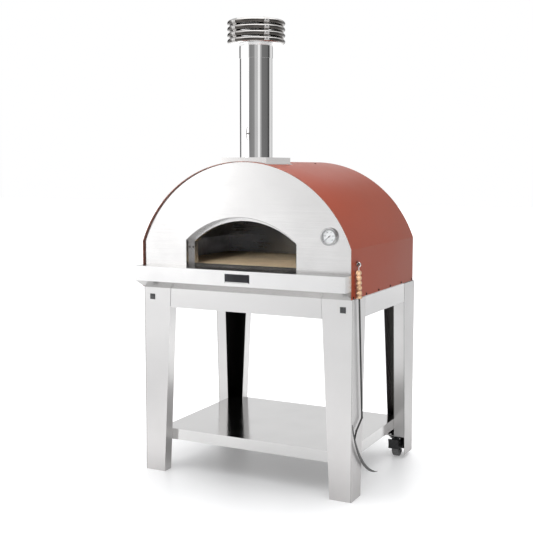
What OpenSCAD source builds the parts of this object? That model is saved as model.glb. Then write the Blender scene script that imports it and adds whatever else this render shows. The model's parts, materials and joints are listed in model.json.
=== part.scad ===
// Wood fired pizza oven on a wheeled steel cart.
// For someone who faces the mouth, +X points to the right, +Y into the oven and +Z up.
// The origin is on the floor, at the middle of the outline.

/* [Cart] */
// Overall width of the cart across the legs
cart_w = 1060; // [1040:1:1080]
// Distance from the front face of the front legs to the rear face of the rear legs
cart_d = 820; // [800:1:840]
// Height of the cart's top edge above the floor
cart_h = 885; // [870:1:900]
// Thickness of the folded sheet of the cart
leg_t = 2.5; // [2:0.5:3]
// Width of a leg's front or rear face at its top and at its foot
leg_face_top = 147; // [135:1:155]
// Width of a leg's front or rear face at the floor
leg_face_foot = 103; // [95:1:115]
// Width of a leg's side face at its top
leg_side_top = 150; // [140:1:160]
// Width of a leg's side face at the floor
leg_side_foot = 109; // [100:1:120]
// Depth of the return flange along each free edge of a leg
leg_flange = 55; // [50:1:60]
// Height of the aprons between the legs
apron_h = 89; // [80:1:95]
// Height of the lower shelf's top face
shelf_z = 199; // [190:1:210]
// Depth of the shelf's turned-down edge
shelf_edge = 52; // [45:1:60]

/* [Casters] */
// Radius of a rear wheel
wheel_r = 40; // [38:0.5:42]
// Width of a rear wheel's tyre
wheel_w = 32; // [28:1:34]
// Height of the plate that each caster is bolted under
caster_h = 108; // [106:1:112]

/* [Oven body] */
// Width of the outer shell
shell_w = 1054; // [1050:1:1056]
// Outer radius of the shell's arch
shell_r = 560; // [555:1:570]
// Thickness of the shell sheet
shell_t = 2.5; // [2:0.5:3]
// Y of the shell's front rim
shell_front = -384; // [-390:1:-380]
// Y of the shell's rear rim
shell_rear = 430; // [425:1:435]
// How far the face plate sits behind the shell's front rim
face_recess = 12; // [8:1:16]
// Height of the ledge's top face
ledge_z = 993; // [990:1:1000]
// Height of the ledge's upright front face
ledge_face = 69; // [65:1:75]
// Y of the ledge's front face
ledge_front = -450; // [-455:1:-445]

/* [Mouth and chamber] */
// Width of the mouth in the face plate
mouth_w = 562; // [550:1:570]
// Sideways place of the mouth's centre
mouth_x = -15; // [-25:1:0]
// Height of the mouth's arch springing
mouth_spring = 1115; // [1108:1:1118]
// Rise of the mouth's arch above its springing
mouth_rise = 111; // [105:1:118]
// Depth of the recess that a door stands in
door_recess = 45; // [40:1:50]
// Width of the step that a door stands against
door_step = 19; // [14:1:22]
// Height of the brick floor's top face
hearth_z = 1003; // [1000:1:1008]
// Width of the cooking chamber
chamber_w = 920; // [860:5:920]

/* [Flue] */
// Outer diameter of the flue pipe
flue_d = 148; // [140:1:155]
// Y of the flue's axis
flue_y = -240; // [-245:1:-235]
// Height of the flue collar's top face
collar_z = 1490; // [1486:1:1494]
// Largest diameter of the cowl's rings
cowl_d = 261; // [250:1:270]
// Height of the lowest cowl ring's middle
cowl_z = 2006; // [2000:1:2010]
// Distance from one cowl ring to the next
cowl_pitch = 26.7; // [26:0.1:28]

/* [Hidden] */
$fn = 64;
fit_gap = 0.2;

// Cart
half_w = cart_w / 2;
cart_front = -370;
cart_rear = cart_front + cart_d;
cart_mid = (cart_front + cart_rear) / 2;
rear_leg_foot = 18;
apron_gap = 1.5;
apron_lip = 20;
apron_inset = 1;
shelf_t = 2;
shelf_gap = 0.5;
shelf_x = half_w - leg_flange - shelf_gap;
shelf_front = cart_front + leg_flange + shelf_gap;
shelf_rear = cart_rear - leg_flange - shelf_gap;
bolt_r = 4;
bolt_inset = 33.5;
bolt_rows = [cart_h - apron_h + 25, cart_h - 25];
cap_size = 26;
cap_x = 484;
cap_z = 841;

// Casters
caster_x = 478;
caster_y = 378;
axle_r = 5;
hub_r = 27;
cheek_gap = wheel_w / 2 + 2.5;
cheek_t = 3;
caster_plate_l = 76;
caster_plate_w = 62;
caster_plate_t = 4;
caster_bolt_r = 4;
caster_bolt_x = 23;
caster_bolt_y = 30;
pedal_pivot_y = caster_y - 18;
pedal_pivot_z = 58;
pedal_pin_r = 3;

// Oven body
shell_half = shell_w / 2;
shell_bottom = cart_h + 3;
shell_spring = 1102;
arch_z = shell_spring - sqrt(pow(shell_r, 2) - pow(shell_half, 2));
face_y = shell_front + face_recess;
face_t = 2.5;
rear_y = shell_rear - face_recess;
inner_r = shell_r - shell_t;
inner_half = shell_half - shell_t;
tray_t = 3;
tray_lip = 30;
screw_z = 895.5;
screw_first = -361;
screw_pitch = 154.6;
screw_count = 6;
screw_shank = 2.4;
top_screw_x = 97;
top_screw_y = 200;
ledge_t = 2;
badge_w = 122;
badge_h = 39;
badge_x = 13;
badge_z = 958.5;
badge_t = 3;

// Mouth and chamber
mouth_half = mouth_w / 2;
mouth_r = (pow(mouth_half, 2) + pow(mouth_rise, 2)) / (2 * mouth_rise);
mouth_cz = mouth_spring + mouth_rise - mouth_r;
tunnel_t = 2;
stop_y = face_y + door_recess;
stop_half = mouth_half - door_step;
stop_r = mouth_r - door_step;
frame_rear = stop_y + 31;
brick_front = frame_rear + 3;
front_wall_y = stop_y + 5;
chamber_t = 2;
chamber_front = front_wall_y + 3;
chamber_rear = 330;
vault_half = chamber_w / 2;
vault_r = 490;
vault_spring = 1090;
vault_cz = vault_spring - sqrt(pow(vault_r, 2) - pow(vault_half, 2));
brick_t = 50;
brick_joint = 1;
brick_columns = 4;
brick_rows = 3;
floor_base = cart_h + tray_t;
floor_top = hearth_z - brick_t;
mouth_screw_z = 1079;
mouth_screw_in = 12;

// Flue
flue_r = flue_d / 2;
flue_t = 1.5;
flue_base = collar_z;
flue_top = 1988;
collar_half = 113;
collar_front = -362;
collar_rear = -118;
collar_t = 2;
collar_lip = 8;
flange_t = 1.5;
spigot_r = flue_r - flue_t - fit_gap;
spigot_base = 1400;
spigot_top = 1510;
sleeve_base = 1930;
sleeve_top = 1992;
sleeve_r = flue_r + 1.8;
bead_r = 2.5;
ring_r = 11;
ring_t = 1.5;
ring_lip = 13;
ring_count = 4;
strap_count = 5;
strap_start = -41;
strap_w = 24;
saddle_t = 1.2;
ring_core = cowl_d / 2 - ring_r - saddle_t;
cap_rise = 9;
damper_z = 1596;
damper_r = 70;
damper_t = 1.5;
spindle_r = 3;
spindle_play = 0.05;
handle_reach = 18;
handle_half = 29;
handle_wire = 2;

// Thermometer
gauge_x = 421;
gauge_z = 1153;
gauge_r = 38.5;
gauge_depth = 15;
dial_r = 33;
window_r = 30;
pointer_rest = 218;
pivot_r = 1.2;
pivot_play = 0.05;
probe_r = 3.5;
probe_len = 140;

// Fire tool
tool_x = 541.3;
hook_y = -340;
ring_eye_z = 1036;
eye_r = 8.5;
eye_wire = 2.8;
hook_r = 3.5;
eye_play = 0.3;
hook_z = ring_eye_z + eye_r - eye_wire - hook_r - eye_play;
tool_tilt = 5;
handle_top = 25;
handle_len = 122;
bead_count = 5;
bead_pitch = 21.5;
rod_r = 4;
rod_end = 680;
blade_chord = 440;
blade_tilt = -43;
blade_mid_y = -234;
blade_mid_z = 208;
blade_outer_sag = 69;
blade_inner_sag = 54;
blade_t = 3;
elbow_y = -346;
elbow_z = 316;
blade_joint_y = -366;
blade_joint_z = 284;

steel = [0.78, 0.78, 0.77];
polished = [0.86, 0.86, 0.86];
dark_steel = [0.25, 0.25, 0.26];
red = [0.64, 0.32, 0.26];
black = [0.09, 0.09, 0.09];
brick = [0.72, 0.62, 0.47];
blanket = [0.9, 0.89, 0.85];
wood = [0.85, 0.68, 0.48];

// An outline drawn in X and Z, made solid from y0 to y1.
module wall_xz(y0, y1) {
    translate([0, y1, 0]) rotate([90, 0, 0]) linear_extrude(y1 - y0) children();
}

// An outline drawn in Y and Z, made solid from x0 to x1.
module wall_yz(x0, x1) {
    translate([x0, 0, 0]) rotate([90, 0, 90]) linear_extrude(x1 - x0) children();
}

// A box between two corners.
module block(low, high) {
    translate(low) cube(high - low);
}

// A cylinder from one X to another.
module bar_x(x0, x1, y, z, r) {
    translate([x0, y, z]) rotate([0, 90, 0]) cylinder(h = x1 - x0, r = r);
}

// A cylinder from one Y to another.
module bar_y(x, y0, y1, z, r) {
    translate([x, y0, z]) rotate([-90, 0, 0]) cylinder(h = y1 - y0, r = r);
}

// A round bar between two points of one plane of constant X.
module bar_yz(x, from, to, r) {
    run = to - from;
    translate([x, from[0], from[1]])
        rotate([atan2(run[1], run[0]) - 90, 0, 0])
        cylinder(h = norm(run), r = r);
}

// Straight sides up to an arch of the given radius about a point at height centre_z.
module arch_outline(half, radius, centre_z, base) {
    seam = max(centre_z + sqrt(pow(radius, 2) - pow(half, 2)) / 2, base + 20);
    translate([-half, base]) square([2 * half, seam - base]);
    intersection() {
        translate([0, centre_z]) circle(r = radius, $fn = 128);
        translate([-half, seam - 10]) square([2 * half, radius]);
    }
}

module shell_outline(inset, base) {
    arch_outline(shell_half - inset, shell_r - inset, arch_z, base);
}

module mouth_outline(inset, base) {
    translate([mouth_x, 0]) arch_outline(mouth_half - inset, mouth_r - inset, mouth_cz, base);
}

module vault_outline(grow, base) {
    arch_outline(vault_half + grow, vault_r + grow, vault_cz, base);
}

// One folded leg with its outer corner on the Z axis, reaching into +X and +Y.
module leg(foot, flange_foot) {
    face_foot = leg_face_foot + (leg_face_top - leg_face_foot) * foot / cart_h;
    side_foot = leg_side_foot + (leg_side_top - leg_side_foot) * foot / cart_h;
    face_cut = leg_face_foot + (leg_face_top - leg_face_foot) * flange_foot / cart_h;
    side_cut = leg_side_foot + (leg_side_top - leg_side_foot) * flange_foot / cart_h;
    wall_xz(0, leg_t)
        polygon([[0, foot], [face_foot, foot], [leg_face_top, cart_h], [0, cart_h]]);
    wall_yz(0, leg_t)
        polygon([[0, foot], [side_foot, foot], [leg_side_top, cart_h], [0, cart_h]]);
    difference() {
        union() {
            wall_xz(0, leg_flange) polygon([
                [face_cut - leg_t, flange_foot], [face_cut, flange_foot],
                [leg_face_top, cart_h], [leg_face_top - leg_t, cart_h]
            ]);
            wall_yz(0, leg_flange) polygon([
                [side_cut - leg_t, flange_foot], [side_cut, flange_foot],
                [leg_side_top, cart_h], [leg_side_top - leg_t, cart_h]
            ]);
        }
        for (z = bolt_rows) {
            bar_x(leg_face_top - 20, leg_face_top + 1, bolt_inset, z, bolt_r);
            bar_y(bolt_inset, leg_side_top - 20, leg_side_top + 1, z, bolt_r);
        }
    }
}

// A rear leg also carries the plate that its caster is bolted under.
module rear_leg() {
    difference() {
        union() {
            leg(rear_leg_foot, caster_h);
            block([leg_t / 2, leg_t / 2, caster_h], [leg_face_foot, leg_side_foot, caster_h + 3]);
        }
        translate([half_w - caster_x, cart_rear - caster_y, 0]) caster_bolt_places()
            translate([0, 0, caster_h - 1]) cylinder(h = 6, r = caster_bolt_r);
    }
}

module leg_front_left() {
    color(steel) translate([-half_w, cart_front, 0]) leg(0, 0);
}

module leg_front_right() {
    color(steel) mirror([1, 0, 0]) translate([-half_w, cart_front, 0]) leg(0, 0);
}

module leg_rear_left() {
    color(steel) translate([-half_w, cart_rear, 0]) mirror([0, 1, 0]) rear_leg();
}

module leg_rear_right() {
    color(steel) mirror([1, 0, 0]) translate([-half_w, cart_rear, 0]) mirror([0, 1, 0]) rear_leg();
}

// Half length of an apron at a height, kept clear of the tapering leg edges.
function apron_half(outer_half, top_w, foot_w, z) =
    outer_half - (foot_w + (top_w - foot_w) * z / cart_h) - apron_gap;

// One folded apron centred on X = 0 with its outer face on Y = 0, reaching into +Y.
module apron(outer_half, top_w, foot_w) {
    low = cart_h - apron_h;
    top_half = apron_half(outer_half, top_w, foot_w, cart_h);
    low_half = apron_half(outer_half, top_w, foot_w, low);
    difference() {
        wall_xz(0, leg_flange - 5)
            polygon([[-low_half, low], [low_half, low], [top_half, cart_h], [-top_half, cart_h]]);
        wall_xz(leg_t, leg_flange) polygon([
            [-low_half + leg_t, low + leg_t], [low_half - leg_t, low + leg_t],
            [top_half - leg_t, cart_h - leg_t], [-top_half + leg_t, cart_h - leg_t]
        ]);
        block([-top_half + leg_t, leg_t + apron_lip, low - 1], [top_half - leg_t, leg_flange, cart_h + 1]);
        for (side = [-1, 1]) for (z = bolt_rows)
            bar_x(side * low_half - 12, side * low_half + 12, bolt_inset - apron_inset, z, bolt_r);
    }
}

module apron_front() {
    color(steel) translate([0, cart_front + apron_inset, 0])
        apron(half_w, leg_face_top, leg_face_foot);
}

module apron_rear() {
    color(steel) translate([0, cart_rear - apron_inset, 0]) mirror([0, 1, 0])
        apron(half_w, leg_face_top, leg_face_foot);
}

module side_apron() {
    translate([-half_w + apron_inset, cart_mid, 0]) rotate([0, 0, -90])
        apron(cart_d / 2, leg_side_top, leg_side_foot);
}

module apron_left() {
    color(steel) side_apron();
}

module apron_right() {
    color(steel) mirror([1, 0, 0]) side_apron();
}

// A tray with turned-down edges that stands between the legs' flanges.
module lower_shelf() {
    low = shelf_z - shelf_edge;
    color(polished) difference() {
        block([-shelf_x, shelf_front, low], [shelf_x, shelf_rear, shelf_z]);
        block([-shelf_x + shelf_t, shelf_front + shelf_t, low - 1],
            [shelf_x - shelf_t, shelf_rear - shelf_t, shelf_z - shelf_t]);
    }
}

// Repeats a piece of the cart's rear right corner at all four corners.
module at_corners() {
    for (side = [0, 1]) for (end = [0, 1])
        translate([0, cart_mid, 0]) mirror([side, 0, 0]) mirror([0, end, 0]) children();
}

// Four folded brackets inside the legs carry the shelf's corners.
module shelf_brackets() {
    inner_x = shelf_x - shelf_t;
    inner_y = (shelf_rear - shelf_front) / 2 - shelf_t;
    top = shelf_z - shelf_t;
    low = shelf_z - shelf_edge - 8;
    color(steel) at_corners() {
        block([inner_x - 34, inner_y - 40, top - 3], [inner_x, inner_y, top]);
        block([inner_x - 3, inner_y - 34, low], [inner_x, inner_y, top]);
        block([inner_x - 3, inner_y - 34, low], [half_w - leg_t, inner_y, low + 3]);
    }
}

module leg_caps() {
    color(black) for (side = [-1, 1]) {
        x = side * cap_x;
        block([x - cap_size / 2, cart_front - 2, cap_z - cap_size / 2],
            [x + cap_size / 2, cart_front, cap_z + cap_size / 2]);
        block([x - cap_size / 2 + 2, cart_front - 3.5, cap_z - cap_size / 2 + 2],
            [x + cap_size / 2 - 2, cart_front - 2, cap_z + cap_size / 2 - 2]);
    }
}

// A bolt along +X through an apron's end flange and a leg's flange; X = 0 is the apron's end.
module cart_bolt() {
    play = 0.5;
    far = apron_gap + leg_t + play;
    bar_x(-leg_t - play - 5, far + 7, 0, 0, bolt_r);
    translate([-leg_t - play - 5, 0, 0]) rotate([0, 90, 0]) cylinder(h = 5, r = 7, $fn = 6);
    translate([far, 0, 0]) rotate([0, 90, 0]) cylinder(h = 5, r = 7, $fn = 6);
}

module cart_bolts() {
    color(polished) for (z = bolt_rows) {
        front_end = apron_half(half_w, leg_face_top, leg_face_foot, z);
        side_end = apron_half(cart_d / 2, leg_side_top, leg_side_foot, z);
        at_corners() {
            translate([front_end, cart_d / 2 - bolt_inset, z]) cart_bolt();
            translate([half_w - bolt_inset, side_end, z]) rotate([0, 0, 90]) cart_bolt();
        }
    }
}

// Places the four bolts of a caster about the caster's centre.
module caster_bolt_places() {
    for (x = [-caster_bolt_x, caster_bolt_x]) for (y = [-caster_bolt_y, caster_bolt_y])
        translate([x, y, 0]) children();
}

// The fork of the right-hand caster: bolt plate, neck and two cheeks.
module caster_fork() {
    crown = wheel_r * 2 + 6;
    translate([caster_x, caster_y, 0]) {
        difference() {
            block([-caster_plate_w / 2, -caster_plate_l / 2, caster_h - caster_plate_t],
                [caster_plate_w / 2, caster_plate_l / 2, caster_h]);
            caster_bolt_places() translate([0, 0, caster_h - 8]) cylinder(h = 10, r = caster_bolt_r);
        }
        translate([0, 0, crown + 3]) cylinder(h = caster_h - caster_plate_t - crown - 3, r = 24);
        block([-cheek_gap - cheek_t, -22, crown], [cheek_gap + cheek_t, 22, crown + 3]);
        for (side = [-1, 1]) difference() {
            wall_yz(side > 0 ? cheek_gap : -cheek_gap - cheek_t, side > 0 ? cheek_gap + cheek_t : -cheek_gap) {
                polygon([[-22, crown + 1], [-24, 62], [-26, 52], [-12, wheel_r - 5], [12, wheel_r - 5], [22, crown + 1]]);
                translate([0, wheel_r]) circle(r = 13);
            }
            bar_x(-60, 60, 0, wheel_r, axle_r);
            bar_x(-60, 60, pedal_pivot_y - caster_y, pedal_pivot_z, pedal_pin_r + 0.05);
        }
    }
}

module caster_fork_left() {
    color(dark_steel) mirror([1, 0, 0]) caster_fork();
}

module caster_fork_right() {
    color(dark_steel) caster_fork();
}

module caster_axles() {
    reach = cheek_gap + cheek_t;
    color(polished) for (side = [-1, 1]) translate([side * caster_x, caster_y, wheel_r]) {
        bar_x(-reach - 1, reach + 1, 0, 0, axle_r);
        for (end = [-1, 1])
            translate([end > 0 ? reach : -reach - 5, 0, 0]) rotate([0, 90, 0]) cylinder(h = 5, r = 8, $fn = 6);
    }
}

module caster_bolts() {
    color(polished) for (side = [-1, 1]) translate([side * caster_x, caster_y, caster_h]) caster_bolt_places() {
        translate([0, 0, -caster_plate_t - 9]) cylinder(h = caster_plate_t + 9 + 9, r = caster_bolt_r);
        translate([0, 0, -caster_plate_t - 6]) cylinder(h = 6, r = 6.5, $fn = 6);
        translate([0, 0, 3]) cylinder(h = 4, r = 6.5, $fn = 6);
    }
}

// A wheel turns about X, so its profiles are laid on their side.
module wheel_place(side) {
    translate([side * caster_x, caster_y, wheel_r]) rotate([0, 90, 0]) children();
}

module caster_hub() {
    rotate_extrude() difference() {
        translate([axle_r + 0.05, -wheel_w / 2 - 1]) square([hub_r - axle_r - 0.05, wheel_w + 2]);
        for (end = [-1, 1]) translate([13, end * (wheel_w / 2 + 1) - 3]) square([9, 6]);
    }
}

module caster_tyre() {
    shoulder = 4;
    rotate_extrude() difference() {
        translate([hub_r, -wheel_w / 2]) square([wheel_r - hub_r, wheel_w]);
        for (end = [-1, 1]) difference() {
            translate([wheel_r - shoulder, end * wheel_w / 2 - shoulder]) square([2 * shoulder, 2 * shoulder]);
            translate([wheel_r - shoulder, end * (wheel_w / 2 - shoulder)]) circle(r = shoulder);
        }
    }
}

module caster_hub_left() {
    color(dark_steel) wheel_place(-1) caster_hub();
}

module caster_hub_right() {
    color(dark_steel) wheel_place(1) caster_hub();
}

module caster_tyre_left() {
    color(black) wheel_place(-1) caster_tyre();
}

module caster_tyre_right() {
    color(black) wheel_place(1) caster_tyre();
}

// The pedal of the right-hand caster: two arms outside the fork, a tread in front of the wheel.
module brake_pedal() {
    arm_in = cheek_gap + cheek_t + 0.6;
    arm_out = arm_in + 3;
    translate([caster_x, 0, 0]) {
        for (side = [-1, 1]) {
            wall_yz(side > 0 ? arm_in : -arm_out, side > 0 ? arm_out : -arm_in) {
                polygon([
                    [pedal_pivot_y, pedal_pivot_z - 7], [pedal_pivot_y, pedal_pivot_z + 7],
                    [318, 66], [316, 50]
                ]);
                translate([pedal_pivot_y, pedal_pivot_z]) circle(r = 7);
            }
            bar_x(side > 0 ? cheek_gap + 0.3 : -arm_in - 1, side > 0 ? arm_in + 1 : -cheek_gap - 0.3,
                pedal_pivot_y, pedal_pivot_z, pedal_pin_r);
        }
        wall_yz(-arm_out, arm_out)
            polygon([[316, 50], [320, 50], [322, 66], [320, 84], [314, 98], [310, 97], [315, 83], [317, 66]]);
    }
}

module brake_pedal_left() {
    color(black) mirror([1, 0, 0]) brake_pedal();
}

module brake_pedal_right() {
    color(black) brake_pedal();
}

// The floor of the oven body, with an upstand that the shell is screwed to.
module base_tray() {
    half = inner_half - fit_gap;
    front = face_y + face_t + fit_gap * 2;
    color(steel) difference() {
        union() {
            block([-half, front, cart_h], [half, cart_rear - 4, cart_h + tray_t]);
            block([-half, front, cart_h], [half, rear_y - face_t, cart_h + tray_lip]);
        }
        block([-half + tray_t, front + tray_t, cart_h + tray_t],
            [half - tray_t, rear_y - face_t - tray_t, cart_h + tray_lip + 1]);
        side_screw_places() cylinder(h = 12, r = screw_shank, center = true);
    }
}

// Places the screws along both lower edges of the shell, heads outward along the local +Z.
module side_screw_places() {
    for (side = [-1, 1]) for (i = [0:screw_count - 1])
        translate([side * shell_half, screw_first + i * screw_pitch, screw_z]) rotate([0, side * 90, 0]) children();
}

// Places the two screws on the top of the shell.
module top_screw_places() {
    lean = asin(top_screw_x / shell_r);
    for (side = [-1, 1])
        translate([side * top_screw_x, top_screw_y, arch_z + sqrt(pow(shell_r, 2) - pow(top_screw_x, 2))])
            rotate([0, side * lean, 0]) children();
}

module outer_shell() {
    color(red) difference() {
        wall_xz(shell_front, shell_rear) difference() {
            shell_outline(0, shell_bottom);
            shell_outline(shell_t, shell_bottom - 1);
        }
        translate([0, flue_y, 1300]) cylinder(h = 300, r = spigot_r + 1);
        side_screw_places() cylinder(h = 12, r = screw_shank, center = true);
        top_screw_places() cylinder(h = 12, r = screw_shank, center = true);
    }
}

module shell_screw(head) {
    translate([0, 0, -6]) cylinder(h = 6.5, r = screw_shank);
    cylinder(h = 1.6, r = head);
    cylinder(h = 2.8, r = head - 1.6);
}

module shell_screws() {
    color(dark_steel) {
        side_screw_places() shell_screw(5);
        top_screw_places() shell_screw(4.5);
    }
}

module face_plate() {
    color(steel) difference() {
        wall_xz(face_y, face_y + face_t) difference() {
            shell_outline(shell_t + fit_gap, shell_bottom);
            mouth_outline(0, ledge_z - tunnel_t);
        }
        bar_y(gauge_x, face_y - 5, face_y + 10, gauge_z, 6.1);
    }
}

module rear_plate() {
    color(steel) wall_xz(rear_y - face_t, rear_y) shell_outline(shell_t + fit_gap, shell_bottom);
}

// The ledge is one folded sheet with two end caps; its underside slopes back to the legs.
module front_ledge() {
    low = ledge_z - ledge_face;
    slope_run = cart_front - 0.5 - ledge_front;
    slope_drop = low - cart_h;
    slope_len = norm([slope_run, slope_drop]);
    across = [slope_drop, slope_run] * ledge_t / slope_len;
    back = face_y;
    inner_low = low + across[1] - slope_drop / slope_run * (ledge_t - across[0]);
    rim = shell_front - fit_gap;
    color(steel) {
        difference() {
            wall_yz(-shell_half, shell_half) polygon([
                [back, ledge_z], [ledge_front, ledge_z], [ledge_front, low],
                [ledge_front + slope_run, cart_h], [ledge_front + slope_run + across[0], cart_h + across[1]],
                [ledge_front + ledge_t, inner_low], [ledge_front + ledge_t, ledge_z - ledge_t],
                [back, ledge_z - ledge_t]
            ]);
            for (side = [-1, 1])
                block([side > 0 ? inner_half - fit_gap : -shell_half - 1, rim, shell_bottom - 1],
                    [side > 0 ? shell_half + 1 : -inner_half + fit_gap, face_y + 5, ledge_z + 1]);
        }
        for (side = [-1, 1])
            wall_yz(side > 0 ? shell_half - ledge_t : -shell_half, side > 0 ? shell_half : -shell_half + ledge_t)
                polygon([
                    [rim, ledge_z], [ledge_front, ledge_z], [ledge_front, low],
                    [rim, cart_h + slope_drop * (ledge_front + slope_run - rim) / slope_run]
                ]);
    }
}

module badge_plate() {
    lip = 5;
    x = badge_x - badge_w / 2;
    z = badge_z - badge_h / 2;
    color(black) {
        block([x, ledge_front - 2, z], [x + badge_w, ledge_front, z + badge_h]);
        block([x + 1.5, ledge_front - badge_t, z + lip],
            [x + badge_w - 1.5, ledge_front - 2, z + badge_h - 1.5]);
    }
}

// The recess that a door stands in, with its floor level with the ledge.
module mouth_tunnel() {
    color(steel) wall_xz(face_y, stop_y) difference() {
        mouth_outline(fit_gap, ledge_z - tunnel_t);
        mouth_outline(tunnel_t, ledge_z);
    }
}

// A step facing the front, then a second, smaller tunnel behind it.
module door_stop_frame() {
    color(steel) difference() {
        union() {
            wall_xz(stop_y, stop_y + tunnel_t) mouth_outline(fit_gap, ledge_z - tunnel_t);
            wall_xz(stop_y, frame_rear) mouth_outline(door_step - tunnel_t, ledge_z - tunnel_t);
        }
        wall_xz(stop_y - 1, frame_rear + 1) mouth_outline(door_step, ledge_z);
        mouth_screw_holes();
    }
}

// Two holes that let the mouth's screws reach through the frame and the chamber's front wall.
module mouth_screw_holes() {
    for (side = [-1, 1])
        bar_y(mouth_x + side * (mouth_half - mouth_screw_in), stop_y - 5, stop_y + 12, mouth_screw_z, 2.5);
}

module mouth_screws() {
    color(dark_steel) for (side = [-1, 1]) {
        x = mouth_x + side * (mouth_half - mouth_screw_in);
        bar_y(x, stop_y - 2, stop_y, mouth_screw_z, 4.5);
        bar_y(x, stop_y - 1, stop_y + 8, mouth_screw_z, 2.5);
    }
}

// A bar that stands on the mouth's floor in front of the bricks.
module hearth_sill() {
    half = mouth_half - door_step - fit_gap;
    color(dark_steel)
        block([mouth_x - half, stop_y + tunnel_t + fit_gap, ledge_z],
            [mouth_x + half, brick_front - brick_joint, hearth_z]);
}

module hearth_bricks() {
    pitch_x = (2 * vault_half - 2) / brick_columns;
    pitch_y = (chamber_rear - 1 - brick_front) / brick_rows;
    color(brick) for (i = [0:brick_columns - 1]) for (j = [0:brick_rows - 1])
        translate([-vault_half + 1 + i * pitch_x, brick_front + j * pitch_y, floor_top])
            cube([pitch_x - brick_joint, pitch_y - brick_joint, brick_t]);
}

module floor_insulation() {
    color(blanket) block([-vault_half - 60, face_y + 10, floor_base],
        [vault_half + 60, chamber_rear + 50, floor_top]);
}

module inner_vault() {
    color(dark_steel) difference() {
        wall_xz(chamber_front, chamber_rear) difference() {
            vault_outline(chamber_t, floor_top);
            vault_outline(0, floor_top - 1);
        }
        translate([0, flue_y, 1300]) cylinder(h = 200, r = spigot_r + fit_gap);
    }
}

module chamber_rear_wall() {
    color(dark_steel) wall_xz(chamber_rear, chamber_rear + chamber_t) vault_outline(chamber_t, floor_top);
}

module chamber_front_wall() {
    color(dark_steel) difference() {
        wall_xz(front_wall_y, chamber_front) difference() {
            vault_outline(chamber_t, floor_top);
            mouth_outline(door_step - tunnel_t - fit_gap, floor_top - 1);
        }
        bar_y(gauge_x, front_wall_y - 5, chamber_front + 5, gauge_z, probe_r + fit_gap);
        mouth_screw_holes();
    }
}

// The blanket fills the space between the chamber and the outer shell.
module dome_insulation() {
    soft = 0.5;
    color(blanket) difference() {
        wall_xz(face_y + face_t + soft, rear_y - face_t - soft)
            shell_outline(shell_t + soft + 3.5, floor_top);
        wall_xz(front_wall_y - soft, chamber_rear + chamber_t + soft)
            vault_outline(chamber_t + soft, floor_top - 1);
        wall_xz(face_y - 1, front_wall_y + 1) mouth_outline(-soft, floor_top - 1);
        translate([0, flue_y, 1200]) cylinder(h = 400, r = spigot_r + soft);
        bar_y(gauge_x, face_y - 5, front_wall_y + 5, gauge_z, 12);
        block([mouth_x - mouth_half - 2, face_y - 1, floor_top - 1],
            [mouth_x + mouth_half + 2, front_wall_y + 1, ledge_z]);
    }
}

module tube(outer, wall, z0, z1) {
    translate([0, 0, z0]) difference() {
        cylinder(h = z1 - z0, r = outer);
        translate([0, 0, -1]) cylinder(h = z1 - z0 + 2, r = outer - wall);
    }
}

module flue_spigot() {
    color(polished) translate([0, flue_y, 0]) tube(spigot_r, flue_t, spigot_base, spigot_top);
}

module collar_box() {
    color(polished) difference() {
        block([-collar_half, collar_front, arch_z + 400], [collar_half, collar_rear, collar_z]);
        block([-collar_half + collar_t, collar_front + collar_t, arch_z + 399],
            [collar_half - collar_t, collar_rear - collar_t, collar_z - collar_t]);
        wall_xz(collar_front - 1, collar_rear + 1)
            translate([0, arch_z]) circle(r = shell_r + flange_t + 0.1, $fn = 128);
        translate([0, flue_y, collar_z - 10]) cylinder(h = 20, r = spigot_r + 0.1);
    }
}

module collar_flange() {
    x = collar_half + collar_lip;
    color(polished) intersection() {
        wall_xz(collar_front - collar_lip, collar_rear + collar_lip) difference() {
            translate([0, arch_z]) circle(r = shell_r + flange_t + 0.1, $fn = 128);
            translate([0, arch_z]) circle(r = shell_r + 0.1, $fn = 128);
        }
        difference() {
            block([-x, collar_front - 20, arch_z + 400], [x, collar_rear + 20, collar_z]);
            block([-collar_half + 6, collar_front + 6, arch_z + 399],
                [collar_half - 6, collar_rear - 6, collar_z + 1]);
        }
    }
}

module flue_pipe() {
    color(polished) difference() {
        translate([0, flue_y, 0]) tube(flue_r, flue_t, flue_base, flue_top);
        bar_y(0, flue_y - 100, flue_y + 100, damper_z, spindle_r + spindle_play);
    }
}

// The sleeve slips over the pipe, stops on its top edge and ends in the cowl's floor.
module cowl_sleeve() {
    color(polished) translate([0, flue_y, 0]) {
        tube(sleeve_r, flue_t, sleeve_base, cowl_z - ring_r);
        tube(sleeve_r, sleeve_r - flue_r + flue_t, flue_top, flue_top + 2);
        rotate_extrude() difference() {
            translate([sleeve_r, cowl_z - 18]) circle(r = bead_r);
            translate([0, cowl_z - 18 - 2 * bead_r]) square([sleeve_r - flue_t, 4 * bead_r]);
        }
        translate([0, 0, cowl_z - ring_r - 1.5]) difference() {
            cylinder(h = 1.5, r = ring_core);
            translate([0, 0, -1]) cylinder(h = 4, r = sleeve_r - 1);
        }
    }
}

// Each ring is a half-round band, open towards the flue, with two flat lips.
module cowl_rings() {
    color(polished) translate([0, flue_y, 0]) for (i = [0:ring_count - 1])
        translate([0, 0, cowl_z + i * cowl_pitch]) rotate_extrude() {
            difference() {
                translate([ring_core, 0]) circle(r = ring_r);
                translate([ring_core, 0]) circle(r = ring_r - ring_t);
                translate([ring_core - 2 * ring_r, -ring_r - 1]) square([2 * ring_r, 2 * ring_r + 2]);
            }
            for (edge = [-ring_r, ring_r - ring_t])
                translate([ring_core - ring_lip, edge]) square([ring_lip, ring_t]);
        }
}

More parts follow.
